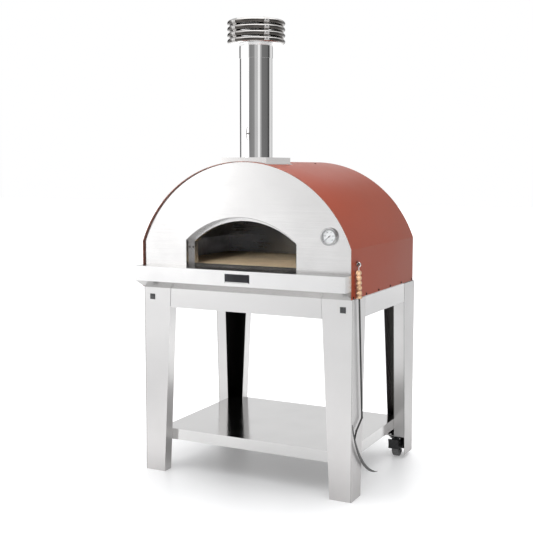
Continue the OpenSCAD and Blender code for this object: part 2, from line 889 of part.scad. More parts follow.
// Straps tie the stack together: an upright inside the rings, a spacer in each gap between two
// rings and a saddle over each ring.
module cowl_straps() {
    low = cowl_z - ring_r;
    high = cowl_z + (ring_count - 1) * cowl_pitch + ring_r;
    lip_r = ring_core - ring_lip;
    turn = 2 * asin(strap_w / 2 / (ring_core + ring_r));
    color(polished) translate([0, flue_y, 0]) for (i = [0:strap_count - 1])
        rotate([0, 0, strap_start + i * 360 / strap_count]) {
            block([lip_r - 3, -strap_w / 2, low], [lip_r - 0.5, strap_w / 2, high]);
            for (k = [0:ring_count - 2])
                block([lip_r - 2, -strap_w / 2, low + k * cowl_pitch + 2 * ring_r],
                    [ring_core + 4, strap_w / 2, low + (k + 1) * cowl_pitch]);
            for (k = [0:ring_count - 1])
                translate([0, 0, cowl_z + k * cowl_pitch]) rotate([0, 0, -turn / 2])
                    rotate_extrude(angle = turn) difference() {
                        translate([ring_core, 0]) circle(r = ring_r + saddle_t);
                        translate([ring_core, 0]) circle(r = ring_r);
                        translate([ring_core - 2 * ring_r, -2 * ring_r]) square([2 * ring_r, 4 * ring_r]);
                    }
        }
}

module cowl_cap() {
    base = cowl_z + (ring_count - 1) * cowl_pitch + ring_r;
    dome_r = (pow(ring_core, 2) + pow(cap_rise, 2)) / (2 * cap_rise);
    color(polished) translate([0, flue_y, base]) rotate_extrude($fn = 96) difference() {
        intersection() {
            translate([0, cap_rise - dome_r]) circle(r = dome_r, $fn = 256);
            square([ring_core, cap_rise + 1]);
        }
        intersection() {
            translate([0, cap_rise - dome_r - 1.5]) circle(r = dome_r, $fn = 256);
            translate([0, -1]) square([ring_core - 12, cap_rise + 1]);
        }
    }
}

// A disc with a sleeve that is fixed on the spindle.
module damper_plate() {
    color(dark_steel) difference() {
        union() {
            bar_x(-damper_t / 2, damper_t / 2, flue_y, damper_z, damper_r);
            bar_y(0, flue_y - damper_r + 4, flue_y + damper_r - 4, damper_z, spindle_r + 1.8);
        }
        bar_y(0, flue_y - 100, flue_y + 100, damper_z, spindle_r);
    }
}

// The spindle runs through the pipe and ends in a bowed wire grip.
module damper_handle() {
    grip_y = flue_y - flue_r - handle_reach;
    bow_r = (pow(handle_half, 2) + pow(6, 2)) / 12;
    sweep = 2 * asin(handle_half / bow_r);
    color(polished) {
        bar_y(0, grip_y - 1, flue_y + flue_r + 6, damper_z, spindle_r);
        bar_y(0, flue_y + flue_r + 2, flue_y + flue_r + 5, damper_z, spindle_r + 3);
        translate([0, grip_y + bow_r, damper_z]) rotate([90, 0, 90])
            rotate([0, 0, 180 - sweep / 2]) rotate_extrude(angle = sweep, $fn = 128)
            translate([bow_r, 0]) circle(r = handle_wire, $fn = 24);
    }
}

// Lays a turned shape on the gauge's axis, its local +Z pointing out of the face plate.
module gauge_place() {
    translate([gauge_x, face_y, gauge_z]) rotate([90, 0, 0]) children();
}

module thermometer_case() {
    color(polished) gauge_place() difference() {
        union() {
            cylinder(h = gauge_depth - 5, r = gauge_r);
            translate([0, 0, gauge_depth - 5])
                rotate_extrude() intersection() {
                    translate([gauge_r - 5, 0]) circle(r = 5);
                    translate([0, 0]) square([gauge_r, 5]);
                }
            translate([0, 0, gauge_depth - 5]) cylinder(h = 5, r = gauge_r - 5);
        }
        translate([0, 0, 3]) cylinder(h = gauge_depth - 6, r = dial_r);
        translate([0, 0, 3]) cylinder(h = gauge_depth, r = window_r);
        translate([0, 0, -1]) cylinder(h = 10, r = 6);
    }
}

module thermometer_dial() {
    color("white") gauge_place() translate([0, 0, 3.5]) difference() {
        cylinder(h = 1, r = dial_r - fit_gap);
        translate([0, 0, -1]) cylinder(h = 3, r = pivot_r + pivot_play);
    }
}

module thermometer_glass() {
    color([0.9, 0.95, 1, 0.3]) gauge_place() translate([0, 0, gauge_depth - 4.5])
        cylinder(h = 1.5, r = window_r + 2);
}

module thermometer_probe() {
    color(polished) gauge_place() difference() {
        union() {
            translate([0, 0, -20]) cylinder(h = 23.5, r = 6);
            translate([0, 0, -probe_len]) cylinder(h = probe_len - 19, r = probe_r);
        }
        translate([0, 0, -6]) cylinder(h = 12, r = pivot_r + pivot_play);
    }
}

module thermometer_nut() {
    color(polished) gauge_place() translate([0, 0, -face_t - 8.5]) difference() {
        cylinder(h = 8, r = 11, $fn = 6);
        translate([0, 0, -1]) cylinder(h = 10, r = 6);
    }
}

module thermometer_pointer() {
    tip = 24;
    tail = 8;
    color(black) gauge_place() {
        translate([0, 0, -2]) cylinder(h = 9.6, r = pivot_r);
        translate([0, 0, 6]) {
            cylinder(h = 1.6, r = 3);
            rotate([0, 0, pointer_rest]) linear_extrude(0.8)
                polygon([[-tail, -1.6], [0, -1.2], [tip, -0.4], [tip, 0.4], [0, 1.2], [-tail, 1.6]]);
        }
    }
}

// A bar that leaves the shell's side, turns, and points to the front.
module tool_hook() {
    turn_y = hook_y + 20;
    color(black) {
        bar_x(shell_half, shell_half + 3, turn_y, hook_z, 10);
        bar_x(shell_half, tool_x, turn_y, hook_z, hook_r);
        translate([tool_x, turn_y, hook_z]) sphere(r = hook_r + 0.3);
        bar_y(tool_x, hook_y - 10, turn_y, hook_z, hook_r);
        translate([tool_x, hook_y - 11, hook_z]) sphere(r = hook_r + 1);
    }
}

// Stands a turned part on the tool's straight line, local +Z pointing down the rod.
module tool_place() {
    translate([tool_x, hook_y, ring_eye_z]) rotate([180 + tool_tilt, 0, 0]) children();
}

module tool_ring() {
    color(polished) {
        translate([tool_x, hook_y, ring_eye_z]) rotate([90, 0, 0])
            rotate_extrude() translate([eye_r, 0]) circle(r = eye_wire, $fn = 32);
        tool_place() translate([0, 0, eye_r]) cylinder(h = handle_top - eye_r + 12, r = 2.5);
    }
}

module tool_handle() {
    color(wood) tool_place() translate([0, 0, handle_top]) difference() {
        rotate_extrude() {
            for (i = [0:bead_count - 1]) intersection() {
                translate([1.5, bead_pitch * (i + 0.5)]) circle(r = 11.3);
                translate([0, bead_pitch * i]) square([20, bead_pitch]);
            }
            translate([0, bead_count * bead_pitch]) square([10, handle_len - bead_count * bead_pitch]);
            intersection() {
                translate([7, handle_len - 6.5]) circle(r = 6.5);
                translate([0, handle_len - 13]) square([20, 13]);
            }
        }
        translate([0, 0, -1]) cylinder(h = 13, r = 2.5);
        translate([0, 0, handle_len - 30]) cylinder(h = 31, r = rod_r);
    }
}

// A straight rod that bends forward to a flat crescent blade.
module tool_iron() {
    bend = [hook_y + rod_end * sin(tool_tilt), ring_eye_z - rod_end * cos(tool_tilt)];
    half = blade_chord / 2;
    outer_r = (pow(half, 2) + pow(blade_outer_sag, 2)) / (2 * blade_outer_sag);
    inner_r2 = (pow(half, 2) + pow(blade_inner_sag, 2)) / (2 * blade_inner_sag);
    color(black) {
        tool_place() translate([0, 0, handle_top + handle_len - 30])
            cylinder(h = rod_end - handle_top - handle_len + 30, r = rod_r);
        translate([tool_x, bend[0], bend[1]]) sphere(r = rod_r + 1);
        bar_yz(tool_x, bend, [elbow_y, elbow_z], rod_r);
        translate([tool_x, elbow_y, elbow_z]) sphere(r = rod_r + 1);
        bar_yz(tool_x, [elbow_y, elbow_z], [blade_joint_y, blade_joint_z], rod_r);
        wall_yz(tool_x - blade_t / 2, tool_x + blade_t / 2)
            translate([blade_mid_y, blade_mid_z]) rotate(blade_tilt) intersection() {
                difference() {
                    translate([0, outer_r - blade_outer_sag]) circle(r = outer_r, $fn = 128);
                    translate([0, inner_r2 - blade_inner_sag]) circle(r = inner_r2, $fn = 128);
                }
                translate([-half + 4, -blade_outer_sag - 1]) square([2 * half - 8, blade_outer_sag + 2]);
            }
    }
}

leg_front_left();
leg_front_right();
leg_rear_left();
leg_rear_right();
apron_front();
apron_rear();
apron_left();
apron_right();
lower_shelf();
shelf_brackets();
leg_caps();
cart_bolts();
caster_fork_left();
caster_fork_right();
caster_axles();
caster_bolts();
caster_hub_left();
caster_hub_right();
caster_tyre_left();
caster_tyre_right();
brake_pedal_left();
brake_pedal_right();
base_tray();
outer_shell();
shell_screws();
face_plate();
rear_plate();
front_ledge();
badge_plate();
mouth_tunnel();
door_stop_frame();
mouth_screws();
hearth_sill();
hearth_bricks();
floor_insulation();
inner_vault();
chamber_rear_wall();
chamber_front_wall();
dome_insulation();
flue_spigot();
collar_box();
collar_flange();
flue_pipe();
cowl_sleeve();
cowl_rings();
cowl_straps();
cowl_cap();
damper_plate();
damper_handle();
thermometer_case();
thermometer_dial();
thermometer_glass();
thermometer_probe();
thermometer_nut();
thermometer_pointer();
tool_hook();
tool_ring();
tool_handle();
tool_iron();
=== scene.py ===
import json
import math
import random

import bmesh
import bpy
from mathutils import Matrix, Vector


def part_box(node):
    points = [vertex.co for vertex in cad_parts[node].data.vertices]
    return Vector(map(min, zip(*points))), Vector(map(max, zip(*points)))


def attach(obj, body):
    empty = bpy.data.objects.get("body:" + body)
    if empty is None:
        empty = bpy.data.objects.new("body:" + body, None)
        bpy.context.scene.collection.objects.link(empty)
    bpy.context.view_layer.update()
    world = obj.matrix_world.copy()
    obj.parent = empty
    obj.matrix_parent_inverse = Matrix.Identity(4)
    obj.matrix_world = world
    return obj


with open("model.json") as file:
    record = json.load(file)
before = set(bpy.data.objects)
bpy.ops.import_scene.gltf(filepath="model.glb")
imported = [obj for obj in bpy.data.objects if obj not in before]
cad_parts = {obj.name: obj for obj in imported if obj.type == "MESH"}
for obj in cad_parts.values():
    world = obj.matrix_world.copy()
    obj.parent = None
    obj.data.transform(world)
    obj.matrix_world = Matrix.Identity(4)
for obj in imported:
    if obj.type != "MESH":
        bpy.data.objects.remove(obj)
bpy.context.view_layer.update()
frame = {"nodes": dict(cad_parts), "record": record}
nodes = frame["nodes"]
record = frame["record"]
random.seed(7)

scene = bpy.context.scene
scene.view_settings.view_transform = "Standard"
scene.view_settings.look = "None"

# Planes of the CAD at which a look changes, in metres.
LEG_OUTSIDE_X = 0.5295      # just within the legs' outer faces, at 0.530
LEG_INSIDE_X = 0.5275       # inner face of the legs' side sheets
LEG_INSIDE_REAR_Y = 0.4475  # inner face of the rear legs' back sheets
SHEET_FACE_SLACK = 0.0006   # how far off such a face still counts as on it
LEDGE_TOP_Z = 0.9927        # just under the ledge's top, at 0.993
LEDGE_FOLD_Z = 0.9235       # just under the lower edge of its front, at 0.924
LEDGE_END_X = 0.5268        # just within its ends, at 0.527
SHELL_ARCH_Z = 0.9126       # centre of the shell's arch, whose radius is 0.560
SHELL_SPRING_Z = 1.102      # where the arch starts above the straight sides
SHELL_INSIDE_R = 0.5592     # nearer the arch's centre than this is not its outer face
SHELL_INSIDE_X = 0.5264     # nearer the middle than this is not a side's outer face
SHELL_FRONT_Y = -0.3836     # just behind the shell's front edge, at -0.384

# Rows of the CAD that small pieces follow, in metres and degrees.
SCREW_FIRST_Y, SCREW_PITCH, SCREW_COUNT = -0.361, 0.1546, 6
SCREW_HEAD_DEPTH, SCREW_HEAD_R = 0.0028, 0.005
JAMB_HEAD_R = 0.0045
RING_Z, RING_PITCH, RING_R, RING_COUNT = 2.006, 0.0267, 0.011, 4
STRAP_START_DEG, STRAP_COUNT, STRAP_T = -41, 5, 0.0012


# ---------------------------------------------------------------- materials

class Shader:
    """A small helper that builds one procedural material."""

    def __init__(self, name):
        self.mat = bpy.data.materials.new(name)
        self.mat.use_nodes = True
        self.tree = self.mat.node_tree
        self.bsdf = self.tree.nodes["Principled BSDF"]
        self.place = self.node("ShaderNodeTexCoord").outputs["Object"]

    def node(self, kind, **values):
        n = self.tree.nodes.new(kind)
        for key, value in values.items():
            setattr(n, key, value)
        return n

    def link(self, a, b):
        self.tree.links.new(a, b)

    def scaled(self, scale):
        m = self.node("ShaderNodeMapping")
        m.inputs["Scale"].default_value = scale
        self.link(self.place, m.inputs["Vector"])
        return m.outputs["Vector"]

    def noise(self, scale, detail=4.0, rough=0.55, stretch=None, distort=0.0):
        n = self.node("ShaderNodeTexNoise")
        n.inputs["Scale"].default_value = scale
        n.inputs["Detail"].default_value = detail
        n.inputs["Roughness"].default_value = rough
        n.inputs["Distortion"].default_value = distort
        self.link(self.scaled(stretch) if stretch else self.place, n.inputs["Vector"])
        return n.outputs["Fac"]

    def span(self, fac, low, high, from_low=0.3, from_high=0.7):
        m = self.node("ShaderNodeMapRange")
        m.inputs["From Min"].default_value = from_low
        m.inputs["From Max"].default_value = from_high
        m.inputs["To Min"].default_value = low
        m.inputs["To Max"].default_value = high
        self.link(fac, m.inputs["Value"])
        return m.outputs["Result"]

    def mix(self, fac, a, b, blend="MIX"):
        m = self.node("ShaderNodeMix", data_type="RGBA", blend_type=blend)
        for socket, value in ((m.inputs["Factor"], fac), (m.inputs["A"], a), (m.inputs["B"], b)):
            if isinstance(value, (int, float)):
                socket.default_value = value
            elif isinstance(value, tuple):
                socket.default_value = (*value, 1.0)
            else:
                self.link(value, socket)
        return m.outputs["Result"]

    def math(self, op, a, b=0.0):
        m = self.node("ShaderNodeMath", operation=op)
        for socket, value in ((m.inputs[0], a), (m.inputs[1], b)):
            if isinstance(value, (int, float)):
                socket.default_value = value
            else:
                self.link(value, socket)
        return m.outputs["Value"]

    def axis(self, name):
        s = self.node("ShaderNodeSeparateXYZ")
        self.link(self.place, s.inputs["Vector"])
        return s.outputs[name]

    def bump(self, height, strength, distance=0.001):
        b = self.node("ShaderNodeBump")
        b.inputs["Strength"].default_value = strength
        b.inputs["Distance"].default_value = distance
        self.link(height, b.inputs["Height"])
        if self.bsdf.inputs["Normal"].is_linked:
            self.link(self.bsdf.inputs["Normal"].links[0].from_socket, b.inputs["Normal"])
        self.link(b.outputs["Normal"], self.bsdf.inputs["Normal"])

    def set(self, **values):
        for key, value in values.items():
            socket = self.bsdf.inputs[key.replace("_", " ")]
            if isinstance(value, tuple):
                socket.default_value = (*value, 1.0)
            elif isinstance(value, (int, float)):
                socket.default_value = value
            else:
                self.link(value, socket)
        return self


def steel(name, color, rough, grain=(3.0, 260.0, 260.0), smudge=0.06, scratch=0.06, grip=0.035):
    """Sheet steel with a fine brushed grain, faint handling marks and hairline scratches."""
    s = Shader(name)
    grain_fac = s.noise(1.0, 2.0, 0.6, stretch=grain)
    cloud = s.noise(3.2, 5.0, 0.6)
    marks = s.noise(14.0, 6.0, 0.7, distort=1.4)
    level = s.math("ADD", s.span(grain_fac, rough - grip, rough + grip), s.span(cloud, -smudge, smudge))
    s.set(Metallic=1.0)
    s.set(Roughness=s.math("ADD", level, s.span(marks, 0.0, smudge * 0.5, 0.55, 0.75)))
    dim = tuple(c * 0.93 for c in color)
    s.set(Base_Color=s.mix(s.span(cloud, 0.0, 1.0), color, dim))
    s.bump(grain_fac, scratch, 0.0002)
    return s.mat


def reopen(mat):
    """Goes back to a finished material, to add a look that depends on the place."""
    s = Shader.__new__(Shader)
    s.mat, s.tree = mat, mat.node_tree
    s.bsdf = s.tree.nodes["Principled BSDF"]
    s.place = s.node("ShaderNodeTexCoord").outputs["Object"]
    return s


def tint(s, fac, color, blend="MIX"):
    """Lays a colour over the material's base colour by a factor."""
    base = s.bsdf.inputs["Base Color"].links[0].from_socket
    s.set(Base_Color=s.mix(fac, base, color, blend))


def leg_steel(name, color, rough):
    """Sheet steel with painted shade: darker towards the feet and on the rear legs. The folded inside
    is painted dark, a painted reflection.
    """
    mat = steel(name, color, rough, smudge=0.025, scratch=0.008, grip=0.008)
    s = reopen(mat)
    # Painted shade: darker towards the feet, and a little darker on the rear legs.
    tint(s, s.span(s.axis("Z"), 1.0, 0.0, 0.05, 0.72), (0.74, 0.73, 0.73), "MULTIPLY")
    tint(s, s.math("GREATER_THAN", s.axis("Y"), 0.1), (0.96, 0.96, 0.96), "MULTIPLY")
    level = s.bsdf.inputs["Roughness"].links[0].from_socket
    outer = s.math("GREATER_THAN", s.math("ABSOLUTE", s.axis("X")), LEG_OUTSIDE_X)
    s.set(Roughness=s.math("ADD", level, s.math("MULTIPLY", outer, 0.2)))
    # Painted reflection: the inside faces of the side and back sheets are coloured nearly black.
    side = s.math("COMPARE", s.math("ABSOLUTE", s.axis("X")), LEG_INSIDE_X)
    side.node.inputs[2].default_value = SHEET_FACE_SLACK
    rear = s.math("COMPARE", s.axis("Y"), LEG_INSIDE_REAR_Y)
    rear.node.inputs[2].default_value = SHEET_FACE_SLACK
    tint(s, s.math("MAXIMUM", side, rear), (0.05, 0.048, 0.046))
    return mat


def ledge_finish(name):
    """Brushed ledge: a bright front, with painted shade on the top, the ends and the underside, which
    are coloured darker.
    """
    mat = steel(name, (0.86, 0.855, 0.85), 0.24, smudge=0.03, scratch=0.02, grip=0.02)
    s = reopen(mat)
    # Painted shade: the top, the underside and the ends are coloured darker than the front.
    tint(s, s.math("GREATER_THAN", s.axis("Z"), LEDGE_TOP_Z), (0.60, 0.60, 0.595), "MULTIPLY")
    tint(s, s.math("LESS_THAN", s.axis("Z"), LEDGE_FOLD_Z), (0.46, 0.455, 0.45), "MULTIPLY")
    ends = s.math("GREATER_THAN", s.math("ABSOLUTE", s.axis("X")), LEDGE_END_X)
    tint(s, ends, (0.78, 0.78, 0.78), "MULTIPLY")
    return mat


def cowl_finish(name):
    """Polished rings, each with a painted dark reflection over its lower half and painted shade at its
    top and in the gap above.
    """
    mat = mirror_steel(name, (0.60, 0.58, 0.56), 0.12)
    s = reopen(mat)
    above = s.math("ADD", s.axis("Z"), RING_R - RING_Z)
    part = s.math("FRACT", s.math("DIVIDE", above, RING_PITCH))
    # Painted reflection: the lower half of each ring is coloured dark.
    lower_half_reflection = s.math("MULTIPLY", s.span(part, 0.0, 1.0, 0.04, 0.12),
                        s.span(part, 1.0, 0.0, 0.42, 0.56))
    tint(s, lower_half_reflection, (0.085, 0.078, 0.072))
    # Painted shade: the top of each ring and the gap above it are coloured dark.
    tint(s, s.span(part, 0.0, 1.0, 0.74, 0.82), (0.16, 0.15, 0.14))
    return mat


def rim_shade(mat):
    """Painted shade on the shell: greyer towards the back, and darker on the front edge and the inside
    of its rim.
    """
    s = reopen(mat)
    # Painted shade: the shell greys towards the back.
    tint(s, s.span(s.axis("Y"), 0.0, 0.55, -0.30, 0.43), (0.27, 0.082, 0.055))
    up = s.math("ADD", s.axis("Z"), -SHELL_ARCH_Z)
    x = s.math("ABSOLUTE", s.axis("X"))
    radius = s.math("SQRT", s.math("ADD", s.math("MULTIPLY", x, x), s.math("MULTIPLY", up, up)))
    inside = s.math("MAXIMUM", s.math("MULTIPLY", s.math("LESS_THAN", radius, SHELL_INSIDE_R),
                                      s.math("GREATER_THAN", s.axis("Z"), SHELL_SPRING_Z)),
                    s.math("MULTIPLY", s.math("LESS_THAN", x, SHELL_INSIDE_X),
                           s.math("LESS_THAN", s.axis("Z"), SHELL_SPRING_Z)))
    front = s.math("LESS_THAN", s.axis("Y"), SHELL_FRONT_Y)
    # Painted shade: the inside of the rim and the front edge are coloured dark.
    tint(s, inside, (0.15, 0.06, 0.042))
    tint(s, front, (0.17, 0.075, 0.055))


def mirror_steel(name, color, rough, scratch=0.03):
    """Polished steel: a clear mirror with a little haze and slow waviness of the thin sheet."""
    s = Shader(name)
    haze = s.noise(6.0, 5.0, 0.6)
    wave = s.noise(5.0, 1.0, 0.4, stretch=(1.0, 1.0, 0.35))
    s.set(Metallic=1.0)
    s.set(Roughness=s.span(haze, rough, rough + 0.05))
    s.set(Base_Color=s.mix(s.span(haze, 0.0, 1.0), color, tuple(c * 0.95 for c in color)))
    s.bump(wave, scratch, 0.004)
    return s.mat


def powder_coat(name, color, pale, rough=0.34):
    """Sprayed coat with a fine orange peel and a little fading."""
    s = Shader(name)
    cloud = s.noise(2.4, 5.0, 0.6)
    speck = s.noise(420.0, 2.0, 0.5)
    peel = s.noise(240.0, 2.0, 0.5)
    base = s.mix(s.span(cloud, 0.0, 1.0), color, pale)
    s.set(Base_Color=s.mix(s.span(speck, 0.0, 0.12, 0.5, 0.8), base, tuple(c * 0.7 for c in color)))
    s.set(Roughness=s.span(cloud, rough - 0.04, rough + 0.06))
    s.set(Specular_IOR_Level=0.10)
    s.bump(peel, 0.12, 0.0004)
    return s.mat


def sooty_steel(name, color, soot, rough, metal=0.85):
    """Heat-stained steel with soot clouds."""
    s = Shader(name)
    cloud = s.noise(5.0, 6.0, 0.65, distort=0.6)
    fine = s.noise(60.0, 4.0, 0.6)
    stain = s.mix(s.span(cloud, 0.0, 1.0, 0.35, 0.65), color, soot)
    s.set(Base_Color=s.mix(s.span(fine, 0.0, 0.25), stain, soot))
    s.set(Metallic=s.span(cloud, metal, metal * 0.5))
    s.set(Roughness=s.span(cloud, rough, rough + 0.2))
    s.bump(fine, 0.1, 0.0005)
    return s.mat


def black_paint(name, color, rough, bump=0.25, scale=160.0):
    """Matt black coat, plastic or iron with a fine grit."""
    s = Shader(name)
    cloud = s.noise(18.0, 5.0, 0.6)
    grit = s.noise(scale, 3.0, 0.6)
    s.set(Base_Color=s.mix(s.span(cloud, 0.0, 1.0), color, tuple(c * 1.8 + 0.004 for c in color)))
    s.set(Roughness=s.span(grit, rough - 0.06, rough + 0.08))
    s.bump(grit, bump, 0.0004)
    return s.mat


def firebrick(name):
    """Tan refractory tile with pores, pale and dark flecks, and darker towards the back."""
    s = Shader(name)
    body = s.noise(7.0, 5.0, 0.6)
    fleck = s.noise(210.0, 3.0, 0.7)
    pore = s.node("ShaderNodeTexVoronoi", feature="F1")
    pore.inputs["Scale"].default_value = 160.0
    s.link(s.place, pore.inputs["Vector"])
    tan = s.mix(s.span(body, 0.0, 1.0), (0.66, 0.52, 0.34), (0.56, 0.43, 0.28))
    speckled = s.mix(s.span(fleck, 0.0, 0.45, 0.52, 0.75), tan, (0.32, 0.23, 0.15))
    back = s.span(s.math("ADD", s.axis("Y"), s.span(body, -0.12, 0.12)), 0.0, 0.75, -0.10, 0.34)
    s.set(Base_Color=s.mix(back, speckled, (0.10, 0.085, 0.07)))
    s.set(Roughness=s.span(fleck, 0.78, 0.95))
    s.bump(s.span(pore.outputs["Distance"], 0.0, 1.0, 0.0, 0.35), 0.35, 0.001)
    s.bump(fleck, 0.2, 0.0008)
    return s.mat


def blanket(name):
    """Pale fibre insulation with a loose pull."""
    s = Shader(name)
    fibre = s.noise(90.0, 6.0, 0.75, stretch=(1.0, 0.2, 1.0), distort=1.0)
    s.set(Base_Color=s.mix(s.span(fibre, 0.0, 1.0), (0.80, 0.79, 0.75), (0.66, 0.64, 0.60)))
    s.set(Roughness=s.span(fibre, 0.85, 1.0))
    s.bump(fibre, 0.5, 0.002)
    return s.mat


def beech(name):
    """Turned beech: growth rings along the handle, short dark flecks and a worn oil finish."""
    s = Shader(name)
    ring = s.node("ShaderNodeTexWave", wave_type="BANDS", bands_direction="X")
    ring.inputs["Scale"].default_value = 60.0
    ring.inputs["Distortion"].default_value = 5.0
    ring.inputs["Detail"].default_value = 3.0
    s.link(s.scaled((1.0, 1.0, 0.12)), ring.inputs["Vector"])
    fleck = s.noise(1.0, 3.0, 0.6, stretch=(900.0, 900.0, 90.0))
    wear = s.noise(22.0, 4.0, 0.6)
    grain = s.mix(ring.outputs["Fac"], (0.58, 0.38, 0.23), (0.47, 0.29, 0.16))
    worn = s.mix(s.span(wear, 0.0, 0.5), grain, (0.64, 0.44, 0.28))
    s.set(Base_Color=s.mix(s.span(fleck, 0.0, 0.5, 0.6, 0.8), worn, (0.38, 0.20, 0.10)))
    s.set(Roughness=s.span(wear, 0.32, 0.5))
    s.bump(ring.outputs["Fac"], 0.08, 0.0005)
    return s.mat


def tyre_rubber(name):
    """Dark rubber with dust on it."""
    s = Shader(name)
    dust = s.noise(45.0, 5.0, 0.65)
    grit = s.noise(300.0, 2.0, 0.5)
    s.set(Base_Color=s.mix(s.span(dust, 0.0, 1.0), (0.10, 0.10, 0.10), (0.17, 0.17, 0.168)))
    s.set(Roughness=s.span(dust, 0.6, 0.85))
    s.bump(grit, 0.3, 0.0004)
    return s.mat


def dial_paint(name):
    """The white of the dial."""
    s = Shader(name)
    cloud = s.noise(60.0, 3.0, 0.5)
    s.set(Base_Color=s.mix(s.span(cloud, 0.0, 1.0), (0.93, 0.93, 0.92), (0.89, 0.89, 0.88)))
    s.set(Roughness=s.span(cloud, 0.45, 0.55))
    return s.mat


def ink(name):
    """The black of the dial's marks, and the painted shade of the screws' recesses."""
    s = Shader(name)
    fade = s.noise(400.0, 2.0, 0.5)
    s.set(Base_Color=s.mix(s.span(fade, 0.0, 1.0), (0.015, 0.015, 0.015), (0.05, 0.05, 0.05)))
    s.set(Roughness=s.span(fade, 0.45, 0.6))
    return s.mat


def clear_glass(name):
    """The glass over the dial, slightly smeared."""
    s = Shader(name)
    smear = s.noise(30.0, 4.0, 0.6)
    s.set(Base_Color=(0.98, 0.99, 1.0), Transmission_Weight=1.0, IOR=1.45)
    s.set(Roughness=s.span(smear, 0.0, 0.05))
    return s.mat


looks = {
    "stainless": steel("stainless", (0.78, 0.772, 0.765), 0.20),
    "polished_steel": mirror_steel("polished_steel", (0.86, 0.855, 0.85), 0.035),
    "red_coat": powder_coat("red_coat", (0.345, 0.058, 0.024), (0.375, 0.070, 0.034)),
    "dark_steel": sooty_steel("dark_steel", (0.20, 0.19, 0.185), (0.045, 0.04, 0.036), 0.34),
    "black_coat": black_paint("black_coat", (0.008, 0.008, 0.009), 0.45),
    "black_plastic": black_paint("black_plastic", (0.018, 0.018, 0.019), 0.52, 0.3, 220.0),
    "tyre": tyre_rubber("tyre"),
    "firebrick": firebrick("firebrick"),
    "blanket": blanket("blanket"),
    "beech": beech("beech"),
    "gauge_glass": clear_glass("gauge_glass"),
    "dial_white": dial_paint("dial_white"),
    "black_iron": black_paint("black_iron", (0.016, 0.0155, 0.015), 0.42, 0.5, 90.0),
}
marks = ink("ink_and_recess_shade")
# Painted reflection: the lower shelf is a darker copy of the steel, for the dark underside it mirrors.
shelf_steel = steel("shelf_steel", (0.57, 0.565, 0.56), 0.13, smudge=0.04)
# Painted shade: the mouth tunnel is a darker copy of the steel.
mouth_steel = steel("mouth_steel", (0.40, 0.39, 0.385), 0.24, smudge=0.08, scratch=0.05)
legs = leg_steel("leg_steel", (0.78, 0.772, 0.765), 0.3)
ledge_steel = ledge_finish("ledge_steel")
rim_shade(looks["red_coat"])
stop_steel = steel("stop_steel", (0.74, 0.735, 0.73), 0.24, scratch=0.04)
# Painted shade: the collar is a darker copy of the steel.
collar_steel = steel("collar_steel", (0.68, 0.665, 0.655), 0.16, scratch=0.03)
# Painted reflection: the damper handle is a darkened copy of the polished steel.
damper_steel = mirror_steel("damper_steel", (0.26, 0.25, 0.24), 0.12)
# Painted reflection: the rear wall's steel is tinted pale blue and kept bright.
back_steel = steel("back_steel", (0.80, 0.83, 0.88), 0.28, scratch=0.05)
sill_steel = sooty_steel("sill_steel", (0.035, 0.032, 0.03), (0.012, 0.011, 0.01), 0.45, 0.3)
badge_coat = black_paint("badge_coat", (0.006, 0.006, 0.007), 0.55)
badge_coat.node_tree.nodes["Principled BSDF"].inputs["Specular IOR Level"].default_value = 0.12
screw_coat = black_paint("screw_coat", (0.010, 0.009, 0.009), 0.6)
screw_coat.node_tree.nodes["Principled BSDF"].inputs["Specular IOR Level"].default_value = 0.1
bezel_steel = mirror_steel("bezel_steel", (0.45, 0.45, 0.45), 0.12)
cowl_steel = cowl_finish("cowl_steel")
strap_steel = mirror_steel("strap_steel", (0.50, 0.485, 0.47), 0.16)
vault_steel = sooty_steel("vault_steel", (0.42, 0.41, 0.42), (0.16, 0.15, 0.145), 0.3)

slot_of = {part["node"]: part["material_slot"] for part in record["subparts"]}
special = {
    "cowl_rings": cowl_steel,
    "leg_front_left": legs,
    "leg_front_right": legs,
    "leg_rear_left": legs,
    "leg_rear_right": legs,
    "chamber_rear_wall": back_steel,
    "hearth_sill": sill_steel,
    "shell_screws": screw_coat,
    "cowl_straps": strap_steel,
    "badge_plate": badge_coat,
    "thermometer_case": bezel_steel,
    "lower_shelf": shelf_steel,
    "mouth_tunnel": mouth_steel,
    "door_stop_frame": stop_steel,
    "front_ledge": ledge_steel,
    "collar_box": collar_steel,
    "collar_flange": collar_steel,
    "damper_handle": damper_steel,
    "inner_vault": vault_steel,
    "chamber_front_wall": vault_steel,
}
for name, obj in nodes.items():
    obj.data.materials.clear()
    obj.data.materials.append(special.get(name, looks[slot_of[name]]))


# ---------------------------------------------------------------- new pieces

def add_piece(name, bm, mat, body, smooth=True):
    """Makes a piece from a bmesh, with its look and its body."""
    mesh = bpy.data.meshes.new(name)
    bmesh.ops.recalc_face_normals(bm, faces=bm.faces)
    bm.to_mesh(mesh)
    bm.free()
    mesh.materials.append(mat)
    if smooth:
        for poly in mesh.polygons:
            poly.use_smooth = True
    obj = bpy.data.objects.new(name, mesh)
    bpy.context.collection.objects.link(obj)
    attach(obj, body)
    return obj


def bm_box(bm, low, high, turn=None):
    """Adds a box between two corners, then moves it by a matrix."""
    low, high = Vector(low), Vector(high)
    made = bmesh.ops.create_cube(bm, size=1.0)["verts"]
    bmesh.ops.scale(bm, vec=high - low, verts=made)
    bmesh.ops.translate(bm, vec=(low + high) / 2, verts=made)
    if turn:
        bmesh.ops.transform(bm, matrix=turn, verts=made)
    return made


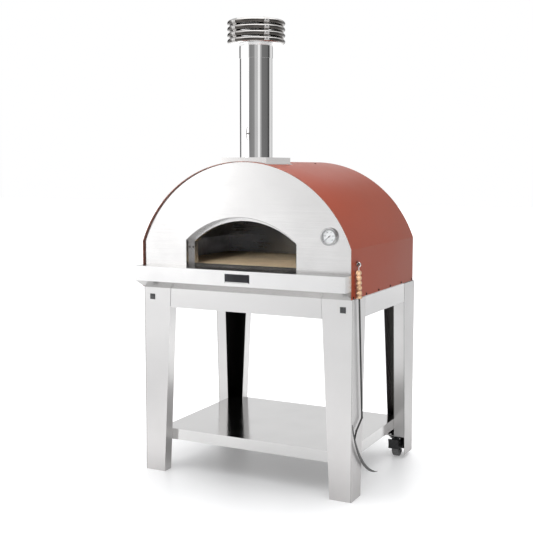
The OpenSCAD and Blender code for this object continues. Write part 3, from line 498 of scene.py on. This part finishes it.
def bm_dome(bm, at, radius, height):
    """Adds a low domed rivet head on +Z of the matrix."""
    rings = []
    count = 20
    for rise in (0.0, 22.5, 45.0, 67.5):
        lift = math.sin(math.radians(rise)) * height
        r = math.cos(math.radians(rise)) * radius
        rings.append([bm.verts.new(at @ Vector((r * math.cos(a), r * math.sin(a), lift)))
                      for a in (2 * math.pi * i / count for i in range(count))])
    top = bm.verts.new(at @ Vector((0, 0, height)))
    for a, b in zip(rings, rings[1:]):
        for i in range(count):
            j = (i + 1) % count
            bm.faces.new((a[i], a[j], b[j], b[i]))
    for i in range(count):
        bm.faces.new((rings[-1][i], rings[-1][(i + 1) % count], top))
    bm.faces.new(rings[0][::-1])


def centre(box):
    """The middle of a box."""
    return (Vector(box[0]) + Vector(box[1])) / 2


def facing(out, at):
    """A frame on an upright face: local Z runs out of the face, local Y up."""
    up = Vector((0, 0, 1))
    m = Matrix((up.cross(out), up, out)).transposed().to_4x4()
    m.translation = at
    return m


# Thermometer: printed scale ticks, an arc and numbers on the dial.
dial_low, dial_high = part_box("thermometer_dial")
dial_mid = centre((dial_low, dial_high))
dial_face = Vector((dial_mid.x, dial_low[1], dial_mid.z))
dial_r = (dial_high[0] - dial_low[0]) / 2


def on_dial(turn_deg, radius, lift=0.0):
    """A frame on the dial's face: local X runs outward, local Z out of the face."""
    a = math.radians(turn_deg)
    out = Vector((math.cos(a), 0, math.sin(a)))
    face = Vector((0, -1, 0))
    side = face.cross(out)
    m = Matrix((out, side, face)).transposed().to_4x4()
    m.translation = dial_face + out * radius + face * lift
    return m


scale_start, scale_sweep, tick_count = 225.0, 270.0, 50
bm = bmesh.new()
for i in range(tick_count + 1):
    turn = scale_start - scale_sweep * i / tick_count
    major = i % 10 == 0
    long = 0.0046 if major else (0.0034 if i % 5 == 0 else 0.0022)
    wide = 0.0009 if major else 0.0004
    bm_box(bm, (-long, -wide / 2, 0.0), (0, wide / 2, 0.00012), on_dial(turn, dial_r * 0.86, 0.00002))
add_piece("dial_ticks", bm, marks, "oven", smooth=False)

bm = bmesh.new()
steps = 96
inner, outer = dial_r * 0.875, dial_r * 0.892
ring_in, ring_out = [], []
for i in range(steps + 1):
    turn = scale_start - scale_sweep * i / steps
    ring_in.append(bm.verts.new(on_dial(turn, inner, 0.00012).translation))
    ring_out.append(bm.verts.new(on_dial(turn, outer, 0.00012).translation))
for i in range(steps):
    bm.faces.new((ring_in[i], ring_in[i + 1], ring_out[i + 1], ring_out[i]))
add_piece("dial_scale_line", bm, marks, "oven", smooth=False)

for i, text in enumerate(("0", "100", "200", "300", "400", "500")):
    turn = scale_start - scale_sweep * i / 5
    curve = bpy.data.curves.new("dial_number_%d" % i, "FONT")
    curve.body = text
    curve.size = dial_r * 0.2
    curve.align_x = "CENTER"
    curve.align_y = "CENTER"
    curve.extrude = 0.00005
    curve.materials.append(marks)
    obj = bpy.data.objects.new("dial_number_%d" % i, curve)
    bpy.context.collection.objects.link(obj)
    spot = on_dial(turn, dial_r * 0.6, 0.0001).translation
    obj.matrix_world = Matrix.Translation(spot) @ Matrix.Rotation(math.radians(90), 4, "X")
    bpy.context.view_layer.update()
    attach(obj, "oven")

# Screw heads: painted shade of a cross recess, drawn as two thin dark bars just over each head.
shell_reach, jamb_reach, bar_half = 0.0034, 0.0028, 0.0005
screw_frames = []
shell_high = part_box("outer_shell")[1]
head_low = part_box("shell_screws")[0]
for side in (-1, 1):
    for i in range(SCREW_COUNT):
        at = Vector((side * (shell_high[0] + SCREW_HEAD_DEPTH), SCREW_FIRST_Y + SCREW_PITCH * i,
                     head_low[2] + SCREW_HEAD_R))
        screw_frames.append((facing(Vector((side, 0, 0)), at), shell_reach))
jamb_low, jamb_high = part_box("mouth_screws")
for x in (jamb_low[0] + JAMB_HEAD_R, jamb_high[0] - JAMB_HEAD_R):
    at = Vector((x, jamb_low[1], (jamb_low[2] + jamb_high[2]) / 2))
    screw_frames.append((facing(Vector((0, -1, 0)), at), jamb_reach))
bm = bmesh.new()
for m, reach in screw_frames:
    turn = m @ Matrix.Rotation(random.uniform(0, math.pi / 2), 4, "Z")
    bm_box(bm, (-reach, -bar_half, -0.0001), (reach, bar_half, 0.00008), turn)
    bm_box(bm, (-bar_half, -reach, -0.0001), (bar_half, reach, 0.00008), turn)
add_piece("screw_recesses", bm, marks, "oven", smooth=False)

# Cowl: two domed rivets side by side where each strap crosses a ring.
rivet_r, rivet_h, rivet_sink, rivet_shift = 0.0024, 0.0011, 0.0002, 0.0065
ring_low, ring_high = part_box("cowl_rings")
flue_mid = centre((ring_low, ring_high))
ring_reach = (ring_high[0] - ring_low[0]) / 2 + STRAP_T
bm = bmesh.new()
for i in range(STRAP_COUNT):
    a = math.radians(STRAP_START_DEG + 360 / STRAP_COUNT * i)
    out = Vector((math.cos(a), math.sin(a), 0))
    side = Vector((0, 0, 1)).cross(out)
    for k in range(RING_COUNT):
        middle = Vector((flue_mid.x, flue_mid.y, RING_Z + RING_PITCH * k))
        for shift in (-rivet_shift, rivet_shift):
            at = middle + out * (ring_reach - rivet_sink) + side * shift
            bm_dome(bm, facing(out, at), rivet_r, rivet_h)
add_piece("cowl_rivets", bm, looks["polished_steel"], "oven")

# Tyres: three low raised bands run around each wheel.
band_steps = 72
band_places = (-0.0085, 0.0, 0.0085)
band_profile = ((-0.0021, -0.0004), (-0.0015, 0.0004), (0.0015, 0.0004), (0.0021, -0.0004))
for side, body in ((-1, "wheel_left"), (1, "wheel_right")):
    low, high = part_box("caster_tyre_left" if side < 0 else "caster_tyre_right")
    mid = centre((low, high))
    radius = (high[2] - low[2]) / 2
    bm = bmesh.new()
    for offset in band_places:
        rings = []
        for i in range(band_steps):
            a = 2 * math.pi * i / band_steps
            ring = []
            for dx, dr in band_profile:
                r = radius + dr
                ring.append(bm.verts.new((mid.x + offset + dx,
                                          mid.y + r * math.cos(a), mid.z + r * math.sin(a))))
            rings.append(ring)
        for i in range(band_steps):
            a, b = rings[i], rings[(i + 1) % band_steps]
            for k in range(3):
                bm.faces.new((a[k], a[k + 1], b[k + 1], b[k]))
    add_piece("tyre_tread_%s" % body, bm, looks["tyre"], body)

# Badge plate: a bright lower line, with no mark on it.
badge_low, badge_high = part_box("badge_plate")
bm = bmesh.new()
bm_box(bm, (badge_low[0] + 0.002, badge_low[1] + 0.0009, badge_low[2] + 0.0008),
       (badge_high[0] - 0.002, badge_high[1], badge_low[2] + 0.0042))
add_piece("badge_line", bm, looks["stainless"], "oven", smooth=False)

# ---------------------------------------------------------------- stage

# The camera's heading, its place to the nearest millimetre, and where the oven's face mirrors it to.
CAM_YAW = math.radians(27.01)
VIEW_X, VIEW_BACK, MIRRORED_VIEW_Y = 2.006, 4.072, 3.33

floor_mat = Shader("floor")
floor_cloud = floor_mat.noise(0.7, 2.0, 0.4)
floor_mat.set(Base_Color=floor_mat.mix(floor_cloud, (0.81, 0.81, 0.81), (0.79, 0.79, 0.79)))
floor_mat.set(Roughness=floor_mat.span(floor_cloud, 0.30, 0.36), Specular_IOR_Level=0.35,
              Emission_Color=(1.0, 1.0, 1.0))
# The floor glows, a painted light: a little where it is the backdrop, plain where the steel mirrors it,
# and less near the oven.
bearing = floor_mat.math("ARCTAN2", floor_mat.math("ADD", floor_mat.axis("X"), -VIEW_X),
                         floor_mat.math("ADD", floor_mat.axis("Y"), VIEW_BACK))
off_axis = floor_mat.math("ABSOLUTE", floor_mat.math("ADD", bearing, CAM_YAW))
glow = floor_mat.span(off_axis, 0.46, 0.0, math.radians(17.0), math.radians(24.0))
reach = floor_mat.node("ShaderNodeVectorMath", operation="LENGTH")
floor_mat.link(floor_mat.place, reach.inputs[0])
# Painted light: a faint glow far off, stronger or weaker by the direction from where the oven's face
# mirrors the camera.
far = floor_mat.span(reach.outputs["Value"], 0.0, 0.34, 5.0, 11.0)
near = floor_mat.span(reach.outputs["Value"], 0.25, 1.0, 0.35, 1.1)
ahead = floor_mat.math("SUBTRACT", MIRRORED_VIEW_Y, floor_mat.axis("Y"))
swing = floor_mat.math("ARCTAN2", floor_mat.math("ADD", floor_mat.axis("X"), -VIEW_X), ahead)
far = floor_mat.math("MULTIPLY", far, floor_mat.span(swing, 1.9, 0.9, -0.62, -0.38))
floor_mat.set(Emission_Strength=floor_mat.math("MULTIPLY", near, floor_mat.math("MAXIMUM", glow, far)))
bm = bmesh.new()
bmesh.ops.create_grid(bm, x_segments=8, y_segments=8, size=30.0)
mesh = bpy.data.meshes.new("floor")
bm.to_mesh(mesh)
bm.free()
mesh.materials.append(floor_mat.mat)
floor = bpy.data.objects.new("floor", mesh)
bpy.context.collection.objects.link(floor)

# World: a white studio with grey flags, laid out by direction from the camera's side.
world = bpy.data.worlds.new("studio")
scene.world = world
world.use_nodes = True
wt = world.node_tree
back = wt.nodes["Background"]
coord = wt.nodes.new("ShaderNodeTexCoord")


def wdot(vec):
    n = wt.nodes.new("ShaderNodeVectorMath")
    n.operation = "DOT_PRODUCT"
    wt.links.new(coord.outputs["Generated"], n.inputs[0])
    n.inputs[1].default_value = vec
    return n.outputs["Value"]


def wmath(op, a, b=0.0, c=None):
    n = wt.nodes.new("ShaderNodeMath")
    n.operation = op
    for socket, value in zip(n.inputs, (a, b, c)):
        if value is None:
            continue
        if isinstance(value, (int, float)):
            socket.default_value = value
        else:
            wt.links.new(value, socket)
    return n.outputs["Value"]


to_cam = (math.sin(CAM_YAW), -math.cos(CAM_YAW), 0.0)
to_right = (math.cos(CAM_YAW), math.sin(CAM_YAW), 0.0)
turn = wmath("ARCTAN2", wdot(to_right), wdot(to_cam))
around = wmath("MULTIPLY_ADD", turn, 1 / (2 * math.pi), 0.5)
ramp = wt.nodes.new("ShaderNodeValToRGB")
wt.links.new(around, ramp.inputs["Fac"])
flags = [
    (-180, 1.0), (-164, 1.0), (-158, 0.10), (-134, 0.10), (-128, 1.15), (-62, 1.3), (-50, 0.92),
    (-46, 0.24), (-12, 0.30), (-8, 0.56), (6, 0.6), (9, 0.32), (12, 0.95), (26, 1.0), (29, 0.5),
    (37, 0.42), (40, 0.2), (88, 0.16), (92, 0.07), (104, 0.07), (110, 0.76), (126, 0.8), (140, 0.92),
    (147, 0.25), (158, 0.25), (163.5, 1.0), (180, 1.0),
]
stops = ramp.color_ramp.elements
while len(stops) < len(flags):
    stops.new(0.5)
for stop, (degrees, _) in zip(stops, flags):
    stop.position = (degrees + 180) / 360
for stop, (_, value) in zip(stops, flags):
    stop.color = (value, value, value * 1.005, 1.0)
height = wdot((0.0, 0.0, 1.0))
lift = wt.nodes.new("ShaderNodeMapRange")
lift.inputs["From Min"].default_value = 0.35
lift.inputs["From Max"].default_value = 0.75
wt.links.new(height, lift.inputs["Value"])
blend = wt.nodes.new("ShaderNodeMix")
blend.data_type = "RGBA"
wt.links.new(lift.outputs["Result"], blend.inputs["Factor"])
wt.links.new(ramp.outputs["Color"], blend.inputs["A"])
blend.inputs["B"].default_value = (0.95, 0.96, 0.98, 1.0)
wt.links.new(blend.outputs["Result"], back.inputs["Color"])
back.inputs["Strength"].default_value = 1.0


def soft_light(name, at, aim, size, power, color=(1.0, 1.0, 1.0)):
    """An area light that looks at a point."""
    data = bpy.data.lights.new(name, "AREA")
    data.shape = "RECTANGLE"
    data.size, data.size_y = size
    data.energy = power
    data.color = color
    obj = bpy.data.objects.new(name, data)
    obj.location = at
    obj.rotation_euler = (Vector(aim) - Vector(at)).to_track_quat("-Z", "Y").to_euler()
    bpy.context.collection.objects.link(obj)
    return obj


soft_light("top_soft", (0.3, -0.6, 5.2), (0.0, 0.0, 0.0), (6.0, 6.0), 120.0)
soft_light("front_left_soft", (-3.6, -4.2, 2.4), (0.0, 0.0, 1.1), (2.4, 2.8), 15.0)
mouth_fill = soft_light("mouth_fill", (-0.15, -2.3, 1.45), (-0.02, 0.0, 1.05), (1.2, 0.8), 8.0)
mouth_fill.data.spread = math.radians(36)
mouth_fill.visible_glossy = False
mouth_fill.visible_camera = False

camera_data = bpy.data.cameras.new("camera")
camera_data.lens = 63.93
camera_data.sensor_width = 36.0
camera_data.dof.use_dof = False
camera_data.clip_end = 200.0
camera = bpy.data.objects.new("camera", camera_data)
camera.location = (2.0059, -4.0722, 1.4456)
camera.rotation_euler = (math.radians(84.03), 0.0, CAM_YAW)
bpy.context.collection.objects.link(camera)
scene.camera = camera
